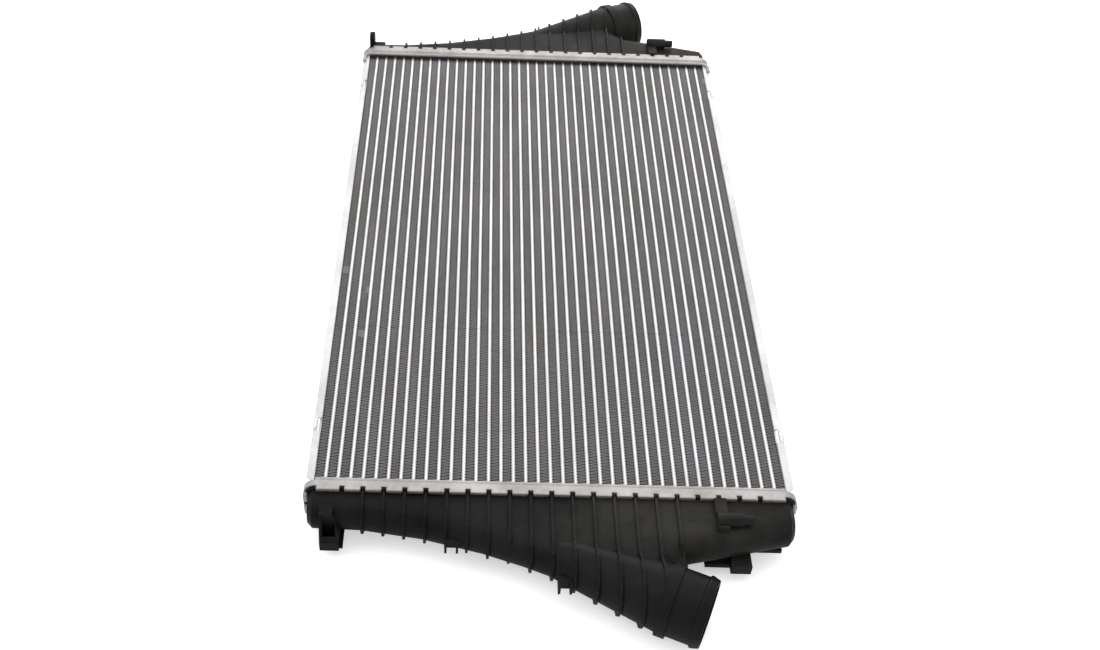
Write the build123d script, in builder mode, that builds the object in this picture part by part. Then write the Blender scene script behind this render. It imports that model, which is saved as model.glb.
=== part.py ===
from build123d import *
from math import cos, hypot, pi, radians, sin, tan
import os

# Charge-air intercooler: a brazed aluminium core between two moulded end tanks.
# X runs along the tanks, Y along the tubes and Z is normal to the face of the core.
# The inlet tank is at +Y. The outlet tank is its mirror image at -Y with other lugs.

# core
core_length = 650.0  # between the inner faces of the two header plates
tube_count = 37
tube_pitch = 10.6
tube_thick = 2.6
tube_depth = 32.0
tube_wall = 0.45
tube_nose = 0.75  # chamfers that stand for the round nose of a flat tube
tube_stick = 1.6  # tube end that stands inside the header plate
fin_recess = 2.0  # fins lie this far under the tube noses
fin_inset = 4.0  # fins stop this far from the header plates
braze_gap = 0.05

# side plates
side_sheet = 1.5
side_flange = 6.3
side_lap = 1.0  # flanges stand this far proud of the tube noses
side_play = 0.2
side_chamfer = 4.5
expansion_place = 262.0  # from the middle of the core, on both sides of it
slot_length = 15.0
slot_width = 3.0
slot_depth = 2.5
bite_radius = 2.4
bite_sides = 8
bite_shift = -1.5

# header plates
header_sheet = 1.4
header_margin = 17.7  # outermost tube centre to the outside of the crimp wall
header_step = 5.0  # crimp wall outside the tube noses
header_height = 11.4
header_corner = 11.0
header_bevel = 2.0  # stands for the round of the pressing's outer edge
notch_count = 21
notch_pitch = 17.55
notch_width = 4.2
notch_drop = 3.7
crimp_lap = 2.3  # tabs folded this far over the tank foot
corner_window = 11.5  # crimp left open at each corner
end_tab_reach = 13.5

# gaskets
gasket_height = 2.6
gasket_width = 3.0
gasket_play = 0.2

# end tanks, with every "out" measured from the crimped edge
tank_wall = 2.5
foot_play = 0.3
block_play = 0.2
crown_radius = 16.6  # half height of the tank between its two flat sides
crown_inset = 4.5  # the raised tank stops this far inside the header plates' ends
crown_bend = 404.0  # the crown falls away from the duct's axis over this length
end_chamfer = 4.0
web_end = 68.0  # the crown follows the duct's axis as far as this
tail_start = 101.0
tail_crown = 10.5
tail_slope = 0.238

# duct and spigot, with stations measured back from the mouth along the axis
duct_angle = 23.1
mouth_x = 124.3
mouth_out = 99.7
mouth_radius = 28.2
duct_length = 150.0
cone_taper = 0.125
pipe_radius = 28.5
barb_radius = 30.0
barb_length = 8.5
barb_ramp = 1.0
barb_land = 1.6
collar_radius = 31.0
collar_width = 8.5
collar_setback = 28.5
collar_lip = 0.5  # the collar stands at least this far over the ribs

# lugs stand this far off the folded tabs
tab_clear = 0.4

hollow_facets = 8  # sides of the many-sided crown of the hollow, which nothing shows
hollow_sides = 10  # straight sides of the hollow in the duct

# ribs
rib_thick = 2.2
rib_proud = 3.0
rib_facets = 6  # straight sides that stand for the round of a rib
duct_rib_sides = 16
full_ribs = (2, 3, 4, 5, 6, 7, 8, 10, 11, 17)
duct_ribs = (12, 13, 14, 15, 16)
short_rib_number = 9  # short on the outlet tank and full on the inlet tank
short_rib_share = 0.85  # of the crown's radius that the short rib climbs

# pads on the crown of both tanks, each with two prongs
pads = ((-80.5, 38.2), (12.2, 75.4))  # middle and outer face of each
pad_width = 16.0
pad_height = 9.2
pad_depth = 12.0
prong_length = 5.6
prong_thick = 2.0
prong_pitch = 9.5

# peg on the upper face of both tanks
peg_x = 136.0
peg_out = 22.7
peg_lift = 22.5  # peg axis above the mid-plane
barrel_radius = 5.5
barrel_length = 21.0
peg_radius = 4.0
peg_length = 9.0
peg_nose = 1.5
leg_width = 10.0
leg_reach = 31.0

# ring lug on the inlet tank
ring_x = -201.0
ring_out = 8.0
ring_lift = 23.0
ring_radius = 10.5
ring_bore = 6.2
ring_thick = 5.5
stub_length = 12.0  # low block beside the ring
stub_out = 16.0
stub_lift = 16.4

# pocket lug on the outlet tank
lug_x = -193.0
lug_width = 16.0
lug_start = 5.0
lug_out = 32.5
lug_toe = 10.0
lug_wall = 2.5
lug_crest = 11.0  # width of the lug at its top
lug_flare = 17.0  # the lug widens to its full width over this height
shoulder_out = 22.0
shoulder_lift = 15.0
wing_length = 3.0
wing_thick = 2.5
wing_out = 30.0

# ledge, block and shelf on the outlet tank
ledge_x = 130.0
ledge_length = 21.0
ledge_out = 40.0
ledge_sheet = 4.0
block_length = 17.0
block_out = 46.0
block_height = 10.0
shelf_x = 170.0
shelf_length = 27.0
shelf_out = 24.0
web_thick = 2.5
web_out = 20.0

# places worked out from the sizes
mid_z = collar_radius  # the collars are the lowest point of the part
core_end = core_length / 2
last_tube = tube_pitch * (tube_count - 1) / 2
tube_end = core_end + header_sheet + tube_stick
fin_thick = tube_pitch - tube_thick - 2 * braze_gap
fin_depth = tube_depth - 2 * fin_recess
side_inner = last_tube + tube_pitch - tube_thick / 2
header_half_x = last_tube + header_margin
crown_run = header_half_x - crown_inset  # half length of the raised tank
header_half_z = tube_depth / 2 + header_step
crimp_edge = core_end + header_height
foot_under = core_end + header_sheet + gasket_height
foot_top = crimp_edge - header_sheet
slope = tan(radians(duct_angle))
axis_at_zero = mouth_out - slope * mouth_x
collar_back = -collar_setback - collar_width
duct_plane = Plane(
    origin=(mouth_x, crimp_edge + mouth_out, mid_z),
    x_dir=(cos(radians(duct_angle)), sin(radians(duct_angle)), 0),
    z_dir=(0, 0, 1),
)
duct_axis = Axis(duct_plane.origin, duct_plane.x_dir)
duct_square = Plane(duct_plane.origin, z_dir=duct_plane.x_dir)


def across(y):
    """Plane square to the tubes, with its middle on the axis of the core."""
    return Plane(origin=(0, y, mid_z), x_dir=(1, 0, 0), z_dir=(0, 1, 0))


def section_at(x):
    """Plane square to the tank, with out along its x and the lift along its y."""
    return Plane(origin=(x, crimp_edge, mid_z), x_dir=(0, 1, 0), z_dir=(1, 0, 0))


def rib_x(number):
    return notch_pitch * (number - (notch_count + 1) / 2)


def crown_centre(x):
    """Middle of the round crown of the tank at x."""
    if x >= tail_start:
        return tail_crown + tail_slope * (crown_run - x)
    if x >= 0:
        return axis_at_zero + slope * x
    return axis_at_zero + slope * x * (1 + x / crown_bend)


def cone_size(station):
    return pipe_radius + cone_taper * min(0, station - collar_back)


def rib_section(x):
    """A rib over the flat sides and the crown of the tank, with straight sides for its round."""
    radius = crown_radius + rib_proud
    climb = (crown_centre(x + rib_thick / 2) - crown_centre(x - rib_thick / 2)) / rib_thick
    crown = []
    for corner in range(rib_facets + 1):
        angle = pi / 2 - pi * corner / rib_facets
        out = crown_centre(x) + radius * hypot(1, climb) * cos(angle)
        crown.append((out, radius * sin(angle)))
    with BuildSketch(section_at(x)) as section:
        with BuildLine():
            Polyline((-header_sheet, radius), *crown, (-header_sheet, -radius), close=True)
        make_face()
    return section.sketch


def crown_form(grow, foot, inset, sides=0):
    """The raised tank: mitred straight stretches of crown on a solid with flat sides."""
    radius = crown_radius + grow
    reach = crown_run + crown_radius
    stations = (-reach, rib_x(2), rib_x(5), rib_x(8), rib_x(10), 0, web_end, tail_start, reach)
    spine = [(x, crimp_edge + crown_centre(x)) for x in stations]
    middle = Plane.XY.offset(mid_z)
    with BuildPart() as form:
        with BuildSketch(middle):
            with BuildLine():
                Polyline((-reach, crimp_edge + foot), *spine, (reach, crimp_edge + foot), close=True)
            make_face()
        extrude(amount=radius, both=True)
        with BuildLine(middle) as path:
            Polyline(*spine)
        with BuildSketch(Plane(path.line @ 0, x_dir=(0, 0, -1), z_dir=path.line % 0)):
            if sides:
                RegularPolygon(radius, sides)
            else:
                Circle(radius)
            Rectangle(2 * radius, 2 * radius, align=(Align.CENTER, Align.MAX), mode=Mode.SUBTRACT)
        sweep(transition=Transition.RIGHT)
        with Locations((0, crimp_edge, mid_z)):
            Box(2 * (crown_run - inset), 4 * mouth_out, 4 * header_half_z, mode=Mode.INTERSECT)
    return form.part


def duct_section(station, radius, sides=0):
    """Round or many-sided section of the duct, square to its axis."""
    with BuildSketch(duct_square.offset(station)) as section:
        if sides:
            RegularPolygon(radius, sides)
        else:
            Circle(radius)
    return section.sketch


with BuildPart() as ribs:
    for number in full_ribs + duct_ribs:
        x = rib_x(number)
        extrude(rib_section(x), amount=rib_thick / 2, both=True)
        if number in duct_ribs:
            # the duct's cone is cut at a slant, so its rib is a long many-sided round
            size = cone_size((x - mouth_x) / cos(radians(duct_angle)))
            reach = min(size + rib_proud, collar_radius - collar_lip)
            stretch = 1 / cos(radians(duct_angle))
            centre = crown_centre(x) + cone_taper * slope * stretch * size
            turns = [2 * pi * corner / duct_rib_sides for corner in range(duct_rib_sides)]
            with BuildSketch(section_at(x)):
                with BuildLine():
                    Polyline(*[(centre + stretch * reach * cos(turn), reach * sin(turn)) for turn in turns],
                             close=True)
                make_face()
            extrude(amount=rib_thick / 2, both=True)
    # the ribs of the duct stop behind its collar
    with BuildSketch(duct_square.offset(collar_back)):
        Circle(collar_radius + rib_proud)
    extrude(amount=-collar_back, mode=Mode.SUBTRACT)

with BuildPart() as short_rib:
    x = rib_x(short_rib_number)
    extrude(rib_section(x), amount=rib_thick / 2, both=True)
    with BuildSketch(section_at(x)):
        with Locations((-header_sheet, 0)):
            Rectangle(crown_centre(x) + short_rib_share * crown_radius, 4 * header_half_z,
                      align=(Align.MIN, Align.CENTER))
    extrude(amount=rib_thick, both=True, mode=Mode.INTERSECT)

with BuildPart() as hollow:
    add(crown_form(-tank_wall, core_end + header_sheet - crimp_edge, tank_wall, hollow_facets))
    root = tank_wall - duct_length
    bore = pipe_radius - tank_wall
    root_section = duct_section(root, cone_size(root) - tank_wall, hollow_sides)
    loft([root_section, duct_section(collar_back, bore, hollow_sides)], ruled=True)
    extrude(duct_section(collar_back, bore), amount=tank_wall - collar_back)

with BuildPart() as tank:
    add(crown_form(0, foot_under - crimp_edge, 0))
    chamfer(faces().filter_by(Axis.X).edges().sort_by(Axis.Y)[2:], end_chamfer)
    # foot that the header plate is crimped over
    with BuildSketch(across(foot_under)):
        RectangleRounded(
            2 * (header_half_x - header_sheet - foot_play),
            2 * (header_half_z - header_sheet - foot_play),
            header_corner - header_sheet - foot_play,
        )
    extrude(amount=foot_top - foot_under)
    # blocks that stand in the notches of the crimp
    with BuildSketch(across(crimp_edge - notch_drop + block_play)):
        with GridLocations(notch_pitch, 1, notch_count, 1):
            Rectangle(notch_width - 2 * block_play, 2 * header_half_z)
        Rectangle(2 * header_half_x, notch_width - 2 * block_play)
    extrude(amount=foot_top - crimp_edge + notch_drop - block_play)
    # spigot with its collar and hose barb
    with BuildSketch(duct_plane):
        with BuildLine():
            Polyline(
                (-duct_length, 0), (-duct_length, cone_size(-duct_length)),
                (collar_back, pipe_radius), (collar_back, collar_radius),
                (-collar_setback, collar_radius), (-collar_setback, pipe_radius),
                (-barb_length, pipe_radius), (barb_ramp - barb_length, barb_radius),
                (barb_ramp + barb_land - barb_length, barb_radius),
                (0, mouth_radius), (0, 0), close=True,
            )
        make_face()
    revolve(axis=duct_axis)
    # pads with their prongs
    for x, face in pads:
        with BuildSketch(section_at(x - pad_width / 2)):
            with Locations((face, 0)):
                Rectangle(pad_depth, pad_height, align=(Align.MAX, Align.CENTER))
        extrude(amount=pad_width)
        with BuildSketch(Plane.XY.offset(mid_z - pad_height / 2)):
            with Locations((x - (pad_width - prong_thick) / 2, crimp_edge + face)):
                with Locations((0, 0), (prong_pitch, 0)):
                    Rectangle(prong_thick, prong_length, align=(Align.CENTER, Align.MIN))
        extrude(amount=pad_height)
    # peg on its leg
    with BuildSketch(section_at(peg_x)):
        with Locations((tab_clear, crown_radius / 2)):
            Rectangle(leg_reach - tab_clear, peg_lift - crown_radius / 2, align=Align.MIN)
    extrude(amount=leg_width)
    with BuildSketch(section_at(peg_x)):
        with Locations((peg_out, peg_lift)):
            Circle(barrel_radius)
    extrude(amount=barrel_length)
    with BuildSketch(section_at(peg_x + barrel_length)):
        with Locations((peg_out, peg_lift)):
            Circle(peg_radius)
    extrude(amount=peg_length)
    chamfer(edges().filter_by(GeomType.CIRCLE).sort_by(Axis.X)[-1], peg_nose)
    add(ribs.part)

with BuildPart() as inlet_tank:
    add(tank.part)
    extrude(rib_section(rib_x(short_rib_number)), amount=rib_thick / 2, both=True)
    with BuildSketch(section_at(ring_x)):
        with Locations((ring_out, ring_lift)):
            Circle(ring_radius)
        with Locations((tab_clear, ring_lift)):
            Rectangle(ring_radius, 2 * ring_radius,
                      align=(Align.MAX, Align.CENTER), mode=Mode.SUBTRACT)
    extrude(amount=ring_thick)
    with BuildSketch(section_at(ring_x)):
        with Locations((ring_out, ring_lift)):
            Circle(ring_bore)
    extrude(amount=ring_thick, mode=Mode.SUBTRACT)
    with BuildSketch(section_at(ring_x + ring_thick)):
        with Locations((tab_clear, crown_radius / 2)):
            Rectangle(stub_out - tab_clear, stub_lift - crown_radius / 2, align=Align.MIN)
    extrude(amount=stub_length)
    add(hollow.part, mode=Mode.SUBTRACT)
inlet_tank.part.label = "inlet_tank"
export_step(inlet_tank.part, "parts/inlet_tank.step")

with BuildPart() as pocket_lug:
    with BuildSketch(section_at(lug_x)):
        with BuildLine():
            Polyline(
                (lug_start, -header_half_z), (lug_out, -header_half_z),
                (lug_out, lug_toe - header_half_z), (shoulder_out, shoulder_lift),
                (lug_start, shoulder_lift), close=True,
            )
        make_face()
    extrude(amount=lug_width)
    # one side leans, so the lug is narrow at its crest
    with BuildSketch(across(crimp_edge + lug_start)):
        with BuildLine():
            Polyline(
                (lug_x + lug_crest, -shoulder_lift), (lug_x + lug_width, -shoulder_lift),
                (lug_x + lug_width, lug_flare - shoulder_lift), close=True,
            )
        make_face()
    extrude(amount=lug_out, mode=Mode.SUBTRACT)

with BuildPart() as outlet_form:
    add(tank.part)
    add(short_rib.part)
    # pocket lug with a wing on its side
    add(pocket_lug.part)
    with BuildSketch(Plane.XY.offset(mid_z - header_half_z + lug_wall)):
        with Locations((lug_x + lug_wall, crimp_edge + shoulder_out)):
            Rectangle(lug_width - 2 * lug_wall, lug_out - shoulder_out - lug_wall,
                      align=Align.MIN)
    extrude(amount=2 * header_half_z, mode=Mode.SUBTRACT)
    with BuildSketch(section_at(lug_x + lug_width)):
        with Locations((lug_start, -header_half_z)):
            Rectangle(wing_out - lug_start, wing_thick, align=Align.MIN)
    extrude(amount=wing_length)
    # ledge, block and shelf, hung from the tank by webs
    with BuildSketch(Plane.XY.offset(mid_z - header_half_z)):
        with Locations((ledge_x, crimp_edge + tab_clear)):
            Rectangle(ledge_length, ledge_out - tab_clear, align=Align.MIN)
        with Locations((shelf_x, crimp_edge + tab_clear)):
            Rectangle(shelf_length, shelf_out - tab_clear, align=Align.MIN)
    extrude(amount=ledge_sheet)
    with BuildSketch(Plane.XY.offset(mid_z - header_half_z)):
        with Locations((ledge_x + ledge_length, crimp_edge + tab_clear)):
            Rectangle(block_length, block_out - tab_clear, align=Align.MIN)
    extrude(amount=block_height)
    for x in (ledge_x, ledge_x + ledge_length, shelf_x, shelf_x + shelf_length - web_thick):
        with BuildSketch(section_at(x)):
            with Locations((tab_clear, -header_half_z)):
                Rectangle(web_out - tab_clear, header_half_z, align=Align.MIN)
        extrude(amount=web_thick)
    add(hollow.part, mode=Mode.SUBTRACT)

with BuildPart() as outlet_tank:
    mirror(outlet_form.part, about=Plane.XZ)
outlet_tank.part.label = "outlet_tank"
export_step(outlet_tank.part, "parts/outlet_tank.step")

with BuildPart() as inlet_header_plate:
    with BuildSketch(across(core_end)):
        RectangleRounded(2 * header_half_x, 2 * header_half_z, header_corner)
    extrude(amount=header_height)
    chamfer(faces().sort_by(Axis.Y)[0].edges(), header_bevel)
    with BuildSketch(across(core_end + header_sheet)):
        RectangleRounded(
            2 * (header_half_x - header_sheet),
            2 * (header_half_z - header_sheet),
            header_corner - header_sheet,
        )
    extrude(amount=foot_top - core_end - header_sheet, mode=Mode.SUBTRACT)
    # opening between the folded tabs, notches and corner windows
    with BuildSketch(across(foot_top)):
        Rectangle(
            2 * (header_half_x - header_sheet - crimp_lap),
            2 * (header_half_z - header_sheet - crimp_lap),
        )
    extrude(amount=header_sheet, mode=Mode.SUBTRACT)
    with BuildSketch(across(crimp_edge - notch_drop)):
        with GridLocations(notch_pitch, 1, notch_count, 1):
            Rectangle(notch_width, 2 * header_half_z)
        Rectangle(2 * header_half_x, notch_width)
        with GridLocations(
            2 * header_half_x - corner_window, header_half_z + end_tab_reach, 2, 2
        ):
            Rectangle(corner_window, header_half_z - end_tab_reach)
    extrude(amount=notch_drop, mode=Mode.SUBTRACT)
    # slots for the tubes
    with BuildSketch(across(core_end)):
        with GridLocations(tube_pitch, 1, tube_count, 1):
            Rectangle(tube_thick + 2 * braze_gap, tube_depth + 2 * braze_gap)
    extrude(amount=header_sheet, mode=Mode.SUBTRACT)
inlet_header_plate.part.label = "inlet_header_plate"
export_step(inlet_header_plate.part, "parts/inlet_header_plate.step")

with BuildPart() as outlet_header_plate:
    mirror(inlet_header_plate.part, about=Plane.XZ)
outlet_header_plate.part.label = "outlet_header_plate"
export_step(outlet_header_plate.part, "parts/outlet_header_plate.step")

with BuildPart() as inlet_gasket:
    with BuildSketch(across(core_end + header_sheet)):
        RectangleRounded(
            2 * (header_half_x - header_sheet - gasket_play),
            2 * (header_half_z - header_sheet - gasket_play),
            header_corner - header_sheet - gasket_play,
        )
        RectangleRounded(
            2 * (header_half_x - header_sheet - gasket_play - gasket_width),
            2 * (header_half_z - header_sheet - gasket_play - gasket_width),
            header_corner - header_sheet - gasket_play - gasket_width,
            mode=Mode.SUBTRACT,
        )
    extrude(amount=gasket_height)
inlet_gasket.part.label = "inlet_gasket"
export_step(inlet_gasket.part, "parts/inlet_gasket.step")

with BuildPart() as outlet_gasket:
    mirror(inlet_gasket.part, about=Plane.XZ)
outlet_gasket.part.label = "outlet_gasket"
export_step(outlet_gasket.part, "parts/outlet_gasket.step")

with BuildPart() as right_side_plate:
    with BuildSketch(across(side_play - core_end)):
        with Locations((side_inner, 0)):
            Rectangle(side_flange, tube_depth + 2 * side_lap,
                      align=(Align.MIN, Align.CENTER))
        with Locations((side_inner + side_sheet, 0)):
            Rectangle(side_flange, tube_depth + 2 * (side_lap - side_sheet),
                      align=(Align.MIN, Align.CENTER), mode=Mode.SUBTRACT)
    extrude(amount=core_length - 2 * side_play)
    outer_corners = edges().filter_by(Axis.Z).group_by(Axis.X)[-1]
    ends = outer_corners.group_by(Axis.Y)
    chamfer(ends[0] + ends[-1], side_chamfer)
    # a slot beside the fins and a bite in the outer edge let the plate stretch
    for face in (-1, 1):
        with BuildSketch(Plane.XY.offset(mid_z + face * tube_depth / 2)):
            with GridLocations(0, 2 * expansion_place, 1, 2):
                with Locations((side_inner, 0)):
                    Rectangle(slot_width, slot_length, align=(Align.MIN, Align.CENTER))
                with Locations((side_inner + side_flange, bite_shift)):
                    RegularPolygon(bite_radius, bite_sides)
        extrude(amount=slot_depth, both=True, mode=Mode.SUBTRACT)
right_side_plate.part.label = "right_side_plate"
export_step(right_side_plate.part, "parts/right_side_plate.step")

with BuildPart() as left_side_plate:
    mirror(right_side_plate.part, about=Plane.YZ)
left_side_plate.part.label = "left_side_plate"
export_step(left_side_plate.part, "parts/left_side_plate.step")

for number in range(tube_count):
    with BuildPart() as tube:
        with BuildSketch(across(-tube_end)):
            with Locations((number * tube_pitch - last_tube, 0)):
                Rectangle(tube_thick, tube_depth)
                chamfer(vertices(), tube_nose)
                Rectangle(tube_thick - 2 * tube_wall,
                          tube_depth - 2 * (tube_wall + tube_nose), mode=Mode.SUBTRACT)
        extrude(amount=2 * tube_end)
    tube.part.label = f"tube_{number + 1:02d}"
    export_step(tube.part, f"parts/tube_{number + 1:02d}.step")

with BuildPart() as fins:
    with BuildSketch(across(fin_inset - core_end)):
        with GridLocations(tube_pitch, 1, tube_count + 1, 1):
            Rectangle(fin_thick, fin_depth)
    extrude(amount=core_length - 2 * fin_inset)
fins.part.label = "fins"
export_step(fins.part, "parts/fins.step")
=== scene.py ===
import math

import bpy
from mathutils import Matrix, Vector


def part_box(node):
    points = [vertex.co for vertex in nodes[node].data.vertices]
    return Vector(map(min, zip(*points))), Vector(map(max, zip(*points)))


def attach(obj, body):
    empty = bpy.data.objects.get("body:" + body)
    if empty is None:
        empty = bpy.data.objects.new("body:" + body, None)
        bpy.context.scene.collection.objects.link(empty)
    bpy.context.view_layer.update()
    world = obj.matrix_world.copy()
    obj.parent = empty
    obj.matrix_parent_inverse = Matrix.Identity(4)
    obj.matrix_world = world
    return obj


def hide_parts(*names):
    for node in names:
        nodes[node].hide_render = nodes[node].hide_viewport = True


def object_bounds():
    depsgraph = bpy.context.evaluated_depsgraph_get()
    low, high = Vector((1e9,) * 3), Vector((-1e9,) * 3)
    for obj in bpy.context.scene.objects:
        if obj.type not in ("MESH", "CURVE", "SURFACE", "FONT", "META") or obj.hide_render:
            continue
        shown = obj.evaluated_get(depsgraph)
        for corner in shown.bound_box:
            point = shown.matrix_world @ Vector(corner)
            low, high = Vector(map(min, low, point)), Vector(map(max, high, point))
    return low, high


# Lengths are in metres, except the camera's lens and sensor, which are in millimetres.
# Near is -y, far is +y and right is +x.

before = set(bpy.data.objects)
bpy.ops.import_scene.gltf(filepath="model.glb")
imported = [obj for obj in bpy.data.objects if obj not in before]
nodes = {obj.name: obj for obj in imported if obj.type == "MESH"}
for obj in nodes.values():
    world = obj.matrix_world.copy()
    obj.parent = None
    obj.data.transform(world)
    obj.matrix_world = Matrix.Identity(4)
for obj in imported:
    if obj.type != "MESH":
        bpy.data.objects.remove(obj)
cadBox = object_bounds()
print("frame loaded:", len(nodes), "nodes")


# Node tree helpers, shared by every material.

def newGroup(name, inputs, outputs):
    group = bpy.data.node_groups.new(name, "ShaderNodeTree")
    for socketName, kind, value in inputs:
        socket = group.interface.new_socket(socketName, in_out="INPUT", socket_type=kind)
        if value is not None:
            socket.default_value = value
    for socketName, kind in outputs:
        group.interface.new_socket(socketName, in_out="OUTPUT", socket_type=kind)
    start = group.nodes.new("NodeGroupInput")
    end = group.nodes.new("NodeGroupOutput")
    return group, start, end


def plug(tree, value, socket):
    if isinstance(value, bpy.types.NodeSocket):
        tree.links.new(value, socket)
    else:
        socket.default_value = value


def mathNode(tree, operation, first, second=0.0):
    node = tree.nodes.new("ShaderNodeMath")
    node.operation = operation
    plug(tree, first, node.inputs[0])
    plug(tree, second, node.inputs[1])
    return node.outputs[0]


def stretchNode(tree, vector, factors):
    node = tree.nodes.new("ShaderNodeVectorMath")
    node.operation = "MULTIPLY"
    plug(tree, vector, node.inputs[0])
    plug(tree, factors, node.inputs[1])
    return node.outputs[0]


def noiseNode(tree, vector, scale, detail=3.0, roughness=0.55):
    node = tree.nodes.new("ShaderNodeTexNoise")
    plug(tree, vector, node.inputs["Vector"])
    plug(tree, scale, node.inputs["Scale"])
    node.inputs["Detail"].default_value = detail
    node.inputs["Roughness"].default_value = roughness
    return node.outputs["Fac"]


def rangeNode(tree, value, low, high, toLow=0.0, toHigh=1.0):
    node = tree.nodes.new("ShaderNodeMapRange")
    plug(tree, value, node.inputs["Value"])
    node.inputs["From Min"].default_value = low
    node.inputs["From Max"].default_value = high
    plug(tree, toLow, node.inputs["To Min"])
    plug(tree, toHigh, node.inputs["To Max"])
    return node.outputs["Result"]


def mixColour(tree, factor, first, second):
    node = tree.nodes.new("ShaderNodeMix")
    node.data_type = "RGBA"
    plug(tree, factor, node.inputs["Factor"])
    plug(tree, first, node.inputs["A"])
    plug(tree, second, node.inputs["B"])
    return node.outputs["Result"]


def useGroup(tree, group, vector, **values):
    node = tree.nodes.new("ShaderNodeGroup")
    node.node_tree = group
    tree.links.new(vector, node.inputs["Vector"])
    for name, value in values.items():
        plug(tree, value, node.inputs[name.capitalize()])
    return node.outputs[0]


def grey(level):
    return (level, level, level, 1.0)


def newMaterial(name):
    material = bpy.data.materials.new(name)
    material.use_nodes = True
    tree = material.node_tree
    shader = tree.nodes["Principled BSDF"]
    place = tree.nodes.new("ShaderNodeTexCoord").outputs["Object"]
    return material, tree, shader, place


roundingSamples = 6


def addBump(tree, shader, height, distance, roundness=0.0):
    bump = tree.nodes.new("ShaderNodeBump")
    if roundness:
        bevel = tree.nodes.new("ShaderNodeBevel")
        bevel.samples = roundingSamples
        bevel.inputs["Radius"].default_value = roundness
        tree.links.new(bevel.outputs["Normal"], bump.inputs["Normal"])
    bump.inputs["Strength"].default_value = 1.0
    bump.inputs["Distance"].default_value = distance
    plug(tree, height, bump.inputs["Height"])
    tree.links.new(bump.outputs["Normal"], shader.inputs["Normal"])


def dress(nodeName, material):
    for slot in nodes[nodeName].material_slots:
        slot.material = material


# Effects that more than one material uses.

wearShape = {
    "radius": 0.0006,
    "samples": 4,
    "edgeFrom": 0.99,  # cosines between the true normal and the rounded one
    "edgeTo": 0.8,
    "broken": (0.35, 0.65),
}


def makeEdgeWear():
    group, start, end = newGroup(
        "edgeWear",
        [("Vector", "NodeSocketVector", None), ("Breakup", "NodeSocketFloat", 300.0)],
        [("Mask", "NodeSocketFloat")],
    )
    bevel = group.nodes.new("ShaderNodeBevel")
    bevel.samples = wearShape["samples"]
    bevel.inputs["Radius"].default_value = wearShape["radius"]
    geometry = group.nodes.new("ShaderNodeNewGeometry")
    dot = group.nodes.new("ShaderNodeVectorMath")
    dot.operation = "DOT_PRODUCT"
    group.links.new(bevel.outputs["Normal"], dot.inputs[0])
    group.links.new(geometry.outputs["Normal"], dot.inputs[1])
    edge = rangeNode(group, dot.outputs["Value"], wearShape["edgeFrom"], wearShape["edgeTo"])
    broken = noiseNode(group, start.outputs["Vector"], start.outputs["Breakup"])
    mask = mathNode(group, "MULTIPLY", edge, rangeNode(group, broken, *wearShape["broken"]))
    group.links.new(mask, end.inputs["Mask"])
    return group


blotchShape = {
    "fineTimes": 6.0,
    "broadShare": 0.7,
    "fineShare": 0.3,
    "contrast": (0.38, 0.62),
}


def makeBlotches():
    group, start, end = newGroup(
        "blotches",
        [("Vector", "NodeSocketVector", None), ("Scale", "NodeSocketFloat", 20.0)],
        [("Mask", "NodeSocketFloat")],
    )
    broad = noiseNode(group, start.outputs["Vector"], start.outputs["Scale"])
    fineScale = mathNode(group, "MULTIPLY", start.outputs["Scale"], blotchShape["fineTimes"])
    fine = noiseNode(group, start.outputs["Vector"], fineScale)
    broad = mathNode(group, "MULTIPLY", broad, blotchShape["broadShare"])
    fine = mathNode(group, "MULTIPLY", fine, blotchShape["fineShare"])
    mixed = mathNode(group, "ADD", broad, fine)
    group.links.new(rangeNode(group, mixed, *blotchShape["contrast"]), end.inputs["Mask"])
    return group


grainDetail = 2.0


def makeGrain():
    group, start, end = newGroup(
        "grain",
        [
            ("Vector", "NodeSocketVector", None),
            ("Scale", "NodeSocketFloat", 2000.0),
            ("Stretch", "NodeSocketVector", (1.0, 1.0, 1.0)),
        ],
        [("Height", "NodeSocketFloat")],
    )
    stretched = stretchNode(group, start.outputs["Vector"], start.outputs["Stretch"])
    height = noiseNode(group, stretched, start.outputs["Scale"], grainDetail)
    group.links.new(height, end.inputs["Height"])
    return group


# Painted shade under the rim of the far header plate, and faint lines where straps lay across the core.

coreShadeAndMarkPlaces = {
    "rimShade": (0.3110, 0.3185),
    "rimCurve": 1.6,
    "rimDepth": 0.9,
    "lines": ((0.0840, 0.16), (-0.1372, 0.26), (0.2525, 0.22), (-0.2640, 0.16)),  # y and strength
    "lineWidth": 0.0008,
    "broken": (0.35, 0.55),
}


def makeCoreShadeAndMarks():
    group, start, end = newGroup(
        "coreShadeAndMarks",
        [("Vector", "NodeSocketVector", None), ("Breakup", "NodeSocketFloat", 40.0)],
        [("Mask", "NodeSocketFloat")],
    )
    axes = group.nodes.new("ShaderNodeSeparateXYZ")
    group.links.new(start.outputs["Vector"], axes.inputs[0])
    along = axes.outputs["Y"]
    rim = rangeNode(group, along, *coreShadeAndMarkPlaces["rimShade"])
    rim = mathNode(group, "POWER", rim, coreShadeAndMarkPlaces["rimCurve"])
    mask = mathNode(group, "MULTIPLY", rim, coreShadeAndMarkPlaces["rimDepth"])
    broken = noiseNode(group, start.outputs["Vector"], start.outputs["Breakup"])
    broken = rangeNode(group, broken, *coreShadeAndMarkPlaces["broken"])
    for place, strength in coreShadeAndMarkPlaces["lines"]:
        away = mathNode(group, "ABSOLUTE", mathNode(group, "SUBTRACT", along, place))
        line = rangeNode(group, away, coreShadeAndMarkPlaces["lineWidth"], 0.0, 0.0, strength)
        mask = mathNode(group, "MAXIMUM", mask, mathNode(group, "MULTIPLY", line, broken))
    group.links.new(mask, end.inputs["Mask"])
    return group


edgeWear = makeEdgeWear()
blotches = makeBlotches()
grain = makeGrain()
coreShadeAndMarks = makeCoreShadeAndMarks()
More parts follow.
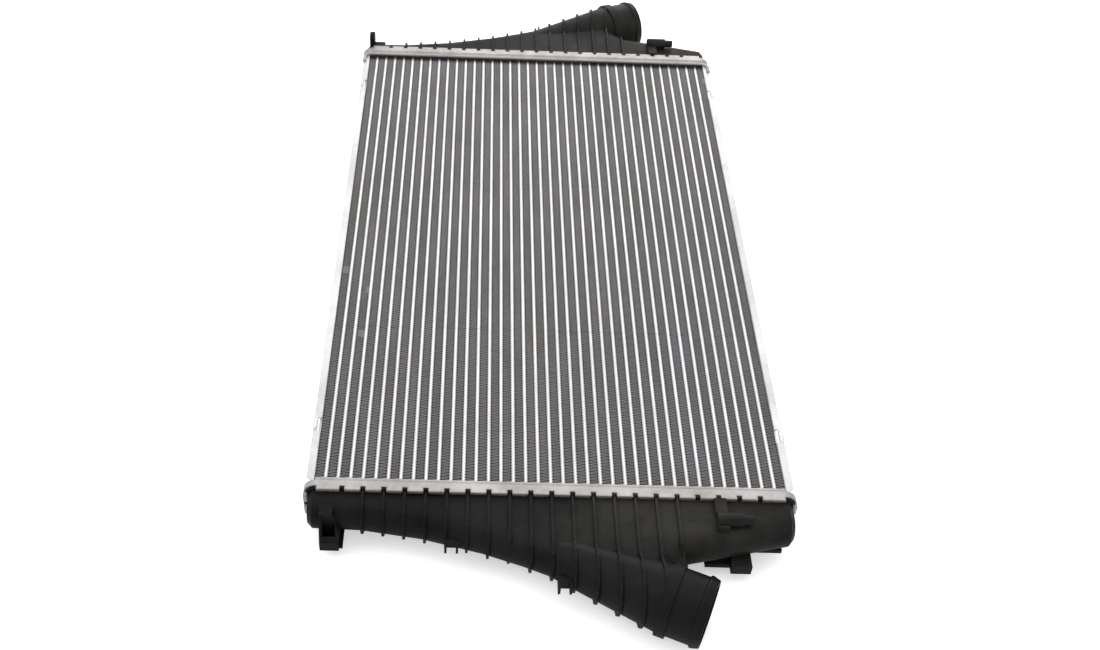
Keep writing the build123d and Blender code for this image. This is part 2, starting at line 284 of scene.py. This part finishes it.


# Glass-filled nylon of the two tanks: near black, faintly cloudy, scuffed on its edges, with a dusty
# coat that is also painted light, lighter towards the right.

nylonLook = {
    "deep": 0.0035,
    "cloudy": 0.0085,
    "worn": 0.026,
    # colour of the dust coat, which is also painted light: mixed in towards the right, less on the near
    # duct and at the right ends
    "dust": (0.0295, 0.028, 0.025, 1.0),
    "dustAndLightAlong": (-0.10, 0.06),  # none left of the first x, full right of the second
    "dustAndLightOut": (0.400, 0.365),  # thinner on the near duct, this far out from the core's middle
    "dustAndLightOnDuct": 0.25,
    "dustAndLightEnd": (0.200, 0.150),  # thinner again at the tanks' right ends
    "dustAndLightOnEnd": 0.5,
    "dustPatches": (0.15, 0.9),
    "dustScale": 16.0,
    "wornBreakup": 260.0,
    "specular": 0.09,
    "roughLow": 0.38,
    "roughHigh": 0.55,
    "cloudScale": 22.0,
    "grainScale": 2600.0,
    "grainHeight": 0.00003,
}


def makeNylon():
    material, tree, shader, place = newMaterial("mouldedNylon")
    cloud = useGroup(tree, blotches, place, scale=nylonLook["cloudScale"])
    colour = mixColour(tree, cloud, grey(nylonLook["deep"]), grey(nylonLook["cloudy"]))
    axes = tree.nodes.new("ShaderNodeSeparateXYZ")
    tree.links.new(place, axes.inputs[0])
    out = mathNode(tree, "MULTIPLY", axes.outputs["Y"], -1.0)
    along = rangeNode(tree, axes.outputs["X"], *nylonLook["dustAndLightAlong"])
    near = rangeNode(tree, out, *nylonLook["dustAndLightOut"], nylonLook["dustAndLightOnDuct"], 1.0)
    settled = useGroup(tree, blotches, place, scale=nylonLook["dustScale"])
    end = rangeNode(tree, axes.outputs["X"], *nylonLook["dustAndLightEnd"], nylonLook["dustAndLightOnEnd"], 1.0)
    # Painted light with dusty patches: the tanks get lighter towards the right, less so on the near
    # duct and at the right ends.
    dust = mathNode(tree, "MULTIPLY", mathNode(tree, "MULTIPLY", along, near), end)
    settled = rangeNode(tree, settled, 0.0, 1.0, *nylonLook["dustPatches"])
    dust = mathNode(tree, "MULTIPLY", dust, settled)
    colour = mixColour(tree, dust, colour, nylonLook["dust"])
    wear = useGroup(tree, edgeWear, place, breakup=nylonLook["wornBreakup"])
    colour = mixColour(tree, wear, colour, grey(nylonLook["worn"]))
    plug(tree, colour, shader.inputs["Base Color"])
    rough = rangeNode(tree, cloud, 0.0, 1.0, nylonLook["roughLow"], nylonLook["roughHigh"])
    plug(tree, rough, shader.inputs["Roughness"])
    shader.inputs["Specular IOR Level"].default_value = nylonLook["specular"]
    height = useGroup(tree, grain, place, scale=nylonLook["grainScale"])
    addBump(tree, shader, height, nylonLook["grainHeight"])
    return material


# Brazed aluminium sheet: the same recipe for header plates, side plates and tubes.

sheetLooks = {
    "header": {
        "dull": 0.35,
        "bright": 0.44,
        "warm": (1.0, 0.965, 0.94),
        "rough": (0.42, 0.58),
        "metallic": 0.70,
        "round": 0.0025,  # radius of the shaded rounding on edges
        "marked": 0.0,  # how much of the rim shade and strap lines it takes
        "patchScale": 30.0,
        "brushed": (1.0, 1.0, 1.0),
    },
    "side": {
        "dull": 0.55,
        "bright": 0.69,
        "warm": (1.0, 0.98, 0.99),
        "rough": (0.40, 0.55),
        "metallic": 0.50,
        "round": 0.0008,
        "marked": 0.5,
        "patchScale": 16.0,
        "brushed": (1.0, 0.15, 1.0),
    },
    "tube": {
        "dull": 0.72,
        "bright": 0.88,
        "warm": (1.0, 0.985, 0.99),
        "rough": (0.32, 0.45),
        "metallic": 0.55,
        "round": 0.0008,
        "marked": 1.0,
        "patchScale": 16.0,
        "brushed": (1.0, 0.1, 1.0),
    },
}

sheetFinish = {
    "wornGain": 1.1,
    "wornBreakup": 400.0,
    "shadeAndMarkGrey": 0.02,
    "grainScale": 1500.0,
    "grainHeight": 0.00002,
}


def warmed(look, level):
    return tuple(min(1.0, level * share) for share in look["warm"]) + (1.0,)


def makeSheet(kind):
    look = sheetLooks[kind]
    material, tree, shader, place = newMaterial(kind + "Sheet")
    patches = useGroup(tree, blotches, place, scale=look["patchScale"])
    colour = mixColour(tree, patches, warmed(look, look["bright"]), warmed(look, look["dull"]))
    wear = useGroup(tree, edgeWear, place, breakup=sheetFinish["wornBreakup"])
    colour = mixColour(tree, wear, colour, warmed(look, look["bright"] * sheetFinish["wornGain"]))
    if look["marked"]:
        # painted shade under the far rim, and the strap lines, darken the sheet here
        shadeAndMarks = mathNode(tree, "MULTIPLY", useGroup(tree, coreShadeAndMarks, place), look["marked"])
        colour = mixColour(tree, shadeAndMarks, colour, grey(sheetFinish["shadeAndMarkGrey"]))
    plug(tree, colour, shader.inputs["Base Color"])
    rough = rangeNode(tree, patches, 0.0, 1.0, *look["rough"])
    plug(tree, rough, shader.inputs["Roughness"])
    shader.inputs["Metallic"].default_value = look["metallic"]
    height = useGroup(tree, grain, place, scale=sheetFinish["grainScale"], stretch=look["brushed"])
    addBump(tree, shader, height, sheetFinish["grainHeight"], look["round"])
    return material


# Fin foil: bright on its cut edges, duller where dust sits on it; painted shade deeper in the core and
# between the folds, and painted highlights on the fold crests and on a few bent folds.

strip = {
    "count": 38,
    "spacing": 0.0106,
    "waves": 206,
    "foil": 0.00026,
    "fold": 0.0009,  # flat crest of a fold
    "proud": 0.0016,  # beyond the plain slab, above and below
    "weld": 0.00001,
}

foilLook = {
    "violet": (0.565, 0.535, 0.575, 1.0),
    "olive": (0.455, 0.44, 0.41, 1.0),
    # grey of the painted highlight on the fold crests
    "crest": 0.95,
    # grey of the painted highlight on the bent folds
    "bright": 0.95,
    "bentFolds": (  # x and y of folds that lie flat, which get a painted highlight
        (-0.174, -0.147),
        (-0.196, -0.0585),
        (-0.171, -0.087),
        (0.200, 0.292),
        (0.016, 0.315),
    ),
    "bentReach": (0.0030, 0.0045),
    "bentShare": 0.6,
    "streaks": (1.0, 0.2, 1.0),
    "dustScale": 45.0,
    # grey of the painted shade deeper in the core, away from its faces
    "deep": 0.09,
    "edgeDepth": 0.0016,
    "gutter": (0.0024, 0.0033),
    "gutterShade": 0.75,
    "gutterGrey": 0.03,
    "shadeAndMarkGrey": 0.01,
    "crestFrom": (0.0034, 0.0037),
    "metallic": 0.5,
    "roughness": 0.5,
}


def bentHighlightMask(tree, axes):
    mask = 0.0
    halfWide, halfLong = foilLook["bentReach"]
    for x, y in foilLook["bentFolds"]:
        across = mathNode(tree, "ABSOLUTE", mathNode(tree, "SUBTRACT", axes.outputs["X"], x))
        along = mathNode(tree, "ABSOLUTE", mathNode(tree, "SUBTRACT", axes.outputs["Y"], y))
        across = mathNode(tree, "LESS_THAN", across, halfWide)
        along = mathNode(tree, "LESS_THAN", along, halfLong)
        mask = mathNode(tree, "MAXIMUM", mask, mathNode(tree, "MULTIPLY", across, along))
    return mathNode(tree, "MULTIPLY", mask, foilLook["bentShare"])


def makeFoil():
    material, tree, shader, place = newMaterial("foldedFoil")
    low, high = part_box("fins")
    axes = tree.nodes.new("ShaderNodeSeparateXYZ")
    tree.links.new(place, axes.inputs[0])
    fromMiddle = mathNode(tree, "SUBTRACT", axes.outputs["Z"], (low.z + high.z) / 2)
    faceHeight = (high.z - low.z) / 2 + strip["proud"]
    fromMiddle = mathNode(tree, "ABSOLUTE", fromMiddle)
    edge = rangeNode(tree, fromMiddle, faceHeight - foilLook["edgeDepth"], faceHeight)
    streaks = stretchNode(tree, place, foilLook["streaks"])
    dust = useGroup(tree, blotches, streaks, scale=foilLook["dustScale"])
    lit = mixColour(tree, dust, foilLook["violet"], foilLook["olive"])
    strips = mathNode(tree, "FRACT", mathNode(tree, "DIVIDE", axes.outputs["X"], strip["spacing"]))
    aside = mathNode(tree, "ABSOLUTE", mathNode(tree, "SUBTRACT", strips, 0.5))
    aside = mathNode(tree, "MULTIPLY", aside, strip["spacing"])
    # Painted shade in the gutters between the folds.
    gutter = rangeNode(tree, aside, *foilLook["gutter"], 0.0, foilLook["gutterShade"])
    lit = mixColour(tree, gutter, lit, grey(foilLook["gutterGrey"]))
    # Painted highlight on the fold crests.
    crest = rangeNode(tree, aside, *foilLook["crestFrom"])
    lit = mixColour(tree, crest, lit, grey(foilLook["crest"]))
    # Painted highlight on the bent folds.
    lit = mixColour(tree, bentHighlightMask(tree, axes), lit, grey(foilLook["bright"]))
    # Painted shade: the foil darkens deeper in the core, away from its faces.
    colour = mixColour(tree, edge, grey(foilLook["deep"]), lit)
    # painted shade under the far rim, and the strap lines, darken the foil here
    shadeAndMarks = useGroup(tree, coreShadeAndMarks, place)
    colour = mixColour(tree, shadeAndMarks, colour, grey(foilLook["shadeAndMarkGrey"]))
    plug(tree, colour, shader.inputs["Base Color"])
    shader.inputs["Metallic"].default_value = foilLook["metallic"]
    shader.inputs["Roughness"].default_value = foilLook["roughness"]
    return material


# Silicone rubber of the gaskets.

rubberLook = {
    "grey": 0.012,
    "roughness": 0.7,
    "grainScale": 1800.0,
    "grainHeight": 0.00003,
}


def makeRubber():
    material, tree, shader, place = newMaterial("gasketRubber")
    shader.inputs["Base Color"].default_value = grey(rubberLook["grey"])
    shader.inputs["Roughness"].default_value = rubberLook["roughness"]
    height = useGroup(tree, grain, place, scale=rubberLook["grainScale"])
    addBump(tree, shader, height, rubberLook["grainHeight"])
    return material


nylon = makeNylon()
headerSheet = makeSheet("header")
sideSheet = makeSheet("side")
tubeSheet = makeSheet("tube")
finFoil = makeFoil()
rubber = makeRubber()

for nodeName in nodes:
    if nodeName.endswith("_tank"):
        dress(nodeName, nylon)
    elif nodeName.endswith("_header_plate"):
        dress(nodeName, headerSheet)
    elif nodeName.endswith("_side_plate"):
        dress(nodeName, sideSheet)
    elif nodeName.endswith("_gasket"):
        dress(nodeName, rubber)
    elif nodeName == "fins":
        dress(nodeName, finFoil)
    else:
        dress(nodeName, tubeSheet)
print("materials made")


# Modelling helpers, shared by the pieces below.

def extrudeBy(x, y, z):
    bpy.ops.mesh.extrude_region_move(TRANSFORM_OT_translate={"value": (x, y, z)})


# A new piece starts as one vertex, selected in edit mode.
def startAt(place):
    bpy.ops.object.select_all(action="DESELECT")
    bpy.ops.mesh.primitive_plane_add(size=0.001)
    piece = bpy.context.object
    bpy.ops.object.mode_set(mode="EDIT")
    bpy.ops.mesh.select_all(action="SELECT")
    bpy.ops.mesh.merge(type="CENTER")
    bpy.ops.transform.translate(value=place)
    return piece


def settlePiece(piece, name, material):
    piece.name = name
    piece.data.name = name
    piece.data.materials.clear()
    piece.data.materials.append(material)
    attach(piece, "root")


# Folded foil between the tubes: one wave, repeated along a strip, and one strip for each gap.

def makeFinStrips():
    low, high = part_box("fins")
    halfWidth = (high.x - low.x - strip["spacing"] * (strip["count"] - 1)) / 2 - strip["foil"] / 2
    pitch = (high.y - low.y) / strip["waves"]
    flat = strip["fold"]
    slope = pitch / 2 - flat
    first = startAt((low.x + strip["foil"] / 2, low.y, low.z - strip["proud"]))
    extrudeBy(0, flat, 0)
    extrudeBy(2 * halfWidth, slope, 0)
    extrudeBy(0, flat, 0)
    extrudeBy(-2 * halfWidth, slope, 0)
    bpy.ops.mesh.select_all(action="SELECT")
    extrudeBy(0, 0, high.z - low.z + 2 * strip["proud"])
    bpy.ops.object.mode_set(mode="OBJECT")
    array = first.modifiers.new("waves", "ARRAY")
    array.count = strip["waves"]
    array.use_relative_offset = False
    array.use_constant_offset = True
    array.constant_offset_displace = (0, pitch, 0)
    array.use_merge_vertices = True
    array.merge_threshold = strip["weld"]
    foil = first.modifiers.new("foil", "SOLIDIFY")
    foil.thickness = strip["foil"]
    foil.offset = 0
    bpy.ops.object.modifier_apply(modifier=array.name)
    bpy.ops.object.modifier_apply(modifier=foil.name)
    strips = [first]
    for number in range(1, strip["count"]):
        bpy.ops.object.duplicate()
        bpy.ops.object.mode_set(mode="EDIT")
        bpy.ops.mesh.select_all(action="SELECT")
        bpy.ops.transform.translate(value=(strip["spacing"], 0, 0))
        bpy.ops.object.mode_set(mode="OBJECT")
        strips.append(bpy.context.object)
    for number, piece in enumerate(strips, start=1):
        settlePiece(piece, f"finStrip{number:02d}", finFoil)
        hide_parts("fins")
    return strips


finStrips = makeFinStrips()
print("fin strips made:", len(finStrips))


# Rolled beads along the header plates' inner edges. The far one hooks over the side plates' ends.

bead = {
    "radius": 0.0021,
    "middle": 0.3241,
    "height": 0.0488,
    "side": 0.2056,
    "corner": 0.008,
    "cornerSteps": 5,
    "hook": 0.009,  # length of the hooked end, past the corner
    "nearEnd": 0.199,
    "rounding": 2,
    "weld": 0.00001,
    "smooth": math.radians(40),
}


def beadPath():
    x, y = bead["side"], bead["middle"]
    turns = [index * math.pi / 2 / bead["cornerSteps"] for index in range(bead["cornerSteps"] + 1)]
    bend = [
        (x - bead["corner"] * (1 - math.cos(turn)), y - bead["corner"] * (1 - math.sin(turn)))
        for turn in turns
    ]
    hooked = [(x, y - bead["corner"] - bead["hook"])] + bend
    return hooked + [(-px, py) for px, py in reversed(hooked)]


def makeBead(name, path):
    startAt((path[0][0], path[0][1], bead["height"]))
    for here, there in zip(path, path[1:]):
        extrudeBy(there[0] - here[0], there[1] - here[1], 0)
    bpy.ops.object.mode_set(mode="OBJECT")
    bpy.ops.object.convert(target="CURVE")
    piece = bpy.context.object
    piece.data.bevel_depth = bead["radius"]
    piece.data.bevel_resolution = bead["rounding"]
    piece.data.use_fill_caps = True
    bpy.ops.object.convert(target="MESH")
    piece = bpy.context.object
    bpy.ops.object.mode_set(mode="EDIT")
    bpy.ops.mesh.select_all(action="SELECT")
    bpy.ops.mesh.remove_doubles(threshold=bead["weld"])
    bpy.ops.mesh.normals_make_consistent(inside=False)
    bpy.ops.object.mode_set(mode="OBJECT")
    bpy.ops.object.shade_smooth_by_angle(angle=bead["smooth"])
    settlePiece(piece, name, headerSheet)


makeBead("farBead", beadPath())
makeBead("nearBead", [(-bead["nearEnd"], -bead["middle"]), (bead["nearEnd"], -bead["middle"])])
print("beads made")


# Torn lips beside the cuts in the side plates: near right first, then far left, near left, far right.

lip = {
    "start": (0.2070, -0.2695, 0.0478),
    # steps across the sheet, then steps along the tear
    "profile": ((-0.0010, 0, 0.0004), (-0.0012, 0, 0.0003), (-0.0008, 0, -0.0004)),
    "runs": (
        (-0.0002, 0.0018, 0.0),
        (0.0003, 0.0018, 0.0004),
        (0.0004, 0.0020, -0.0003),
        (-0.0006, 0.0016, 0.0005),
        (-0.0003, 0.0018, -0.0004),
        (0.0004, 0.0020, 0.0002),
        (-0.0005, 0.0018, -0.0003),
    ),
    "crumple": 0.0004,
    "seed": 11,
    "sheet": 0.0003,
    "apart": 0.525,  # from the far left lip to the near left one
}


def makeLips():
    first = startAt(lip["start"])
    for step in lip["profile"]:
        extrudeBy(*step)
    bpy.ops.mesh.select_all(action="SELECT")
    for step in lip["runs"]:
        extrudeBy(*step)
    bpy.ops.mesh.select_all(action="SELECT")
    bpy.ops.transform.vertex_random(offset=lip["crumple"], uniform=1.0, seed=lip["seed"])
    bpy.ops.object.mode_set(mode="OBJECT")
    sheet = first.modifiers.new("sheet", "SOLIDIFY")
    sheet.thickness = lip["sheet"]
    sheet.offset = 0
    bpy.ops.object.modifier_apply(modifier=sheet.name)
    lips = [first]
    for turned, moved in ((True, 0), (False, -lip["apart"]), (True, 0)):
        bpy.ops.object.duplicate()
        bpy.ops.object.mode_set(mode="EDIT")
        bpy.ops.mesh.select_all(action="SELECT")
        if turned:
            bpy.ops.transform.resize(value=(-1, -1, 1), center_override=(0, 0, 0))
        bpy.ops.transform.translate(value=(0, moved, 0))
        bpy.ops.object.mode_set(mode="OBJECT")
        lips.append(bpy.context.object)
    for number, piece in enumerate(lips, start=1):
        settlePiece(piece, f"tornLip{number}", tubeSheet)


makeLips()
print("torn lips made")


# Studio: pale floor, white surround, soft lamps and the camera.

studio = {
    "floorSize": 30,
    "floorGap": 0.0002,
    "floorRoughness": 0.9,
    "floorSpecular": 0.1,
    "floorGrey": 0.95,
    "floorBounce": 0.40,
    "floorGlow": 0.45,
    "ambient": 0.80,
    "lamps": {
        "overhead": {"size": 3.0, "power": 28.0, "place": (0.0, 0.4, 2.6), "aim": (0.0, 0.0, 0.0)},
        "back": {"size": 2.0, "power": 22.0, "place": (0.3, 2.6, 1.3), "aim": (0.0, 0.2, 0.0)},
        "left": {"size": 1.2, "power": 10.0, "place": (-1.8, -0.6, 1.8), "aim": (0.0, 0.0, 0.0)},
    },
    "camera": {
        "place": (-0.0750, -1.0004, 0.9053),
        "turn": (0.790976, -0.034467, 0.004801),
        "lens": 42.02,
        "sensor": 36.0,
        "shift": 0.0513,
    },
}


def makeFloor():
    bpy.ops.object.select_all(action="DESELECT")
    bpy.ops.mesh.primitive_plane_add(size=studio["floorSize"])
    floor = bpy.context.object
    floor.name = "studioFloor"
    bpy.ops.object.mode_set(mode="EDIT")
    bpy.ops.mesh.select_all(action="SELECT")
    bpy.ops.transform.translate(value=(0, 0, cadBox[0].z - studio["floorGap"]))
    bpy.ops.object.mode_set(mode="OBJECT")
    material, tree, shader, place = newMaterial("floorPaint")
    rays = tree.nodes.new("ShaderNodeLightPath").outputs
    seen = mathNode(tree, "MAXIMUM", rays["Is Camera Ray"], rays["Is Glossy Ray"])
    colour = mixColour(tree, seen, grey(studio["floorBounce"]), grey(studio["floorGrey"]))
    plug(tree, colour, shader.inputs["Base Color"])
    glow = mixColour(tree, rays["Is Camera Ray"], grey(0.0), grey(studio["floorGlow"]))
    plug(tree, glow, shader.inputs["Emission Color"])
    shader.inputs["Emission Strength"].default_value = 1.0
    shader.inputs["Roughness"].default_value = studio["floorRoughness"]
    shader.inputs["Specular IOR Level"].default_value = studio["floorSpecular"]
    floor.data.materials.append(material)


def makeSurround():
    world = bpy.data.worlds.new("surround")
    world.use_nodes = True
    bpy.context.scene.world = world
    tree = world.node_tree
    background = tree.nodes["Background"]
    rays = tree.nodes.new("ShaderNodeLightPath")
    seen = mathNode(tree, "MAXIMUM", rays.outputs["Is Camera Ray"], rays.outputs["Is Transmission Ray"])
    colour = mixColour(tree, seen, grey(studio["ambient"]), grey(1.0))
    plug(tree, colour, background.inputs["Color"])
    background.inputs["Strength"].default_value = 1.0


def makeLamps():
    for name, lamp in studio["lamps"].items():
        light = bpy.data.lights.new(name + "Lamp", "AREA")
        light.shape = "SQUARE"
        light.size = lamp["size"]
        light.energy = lamp["power"]
        holder = bpy.data.objects.new(name + "Lamp", light)
        bpy.context.scene.collection.objects.link(holder)
        holder.location = lamp["place"]
        target = [aim - place for aim, place in zip(lamp["aim"], lamp["place"])]
        flat = math.hypot(target[0], target[1])
        tilt = math.atan2(flat, -target[2])
        heading = math.atan2(target[1], target[0]) - math.pi / 2
        holder.rotation_euler = (tilt, 0, heading)


def makeCamera():
    data = bpy.data.cameras.new("mainCamera")
    view = studio["camera"]
    data.lens = view["lens"]
    data.sensor_width = view["sensor"]
    data.shift_x = view["shift"]
    camera = bpy.data.objects.new("mainCamera", data)
    bpy.context.scene.collection.objects.link(camera)
    camera.location = view["place"]
    camera.rotation_euler = view["turn"]
    bpy.context.scene.camera = camera


makeFloor()
makeSurround()
makeLamps()
makeCamera()
bpy.context.scene.view_settings.view_transform = "Standard"
print("studio ready")
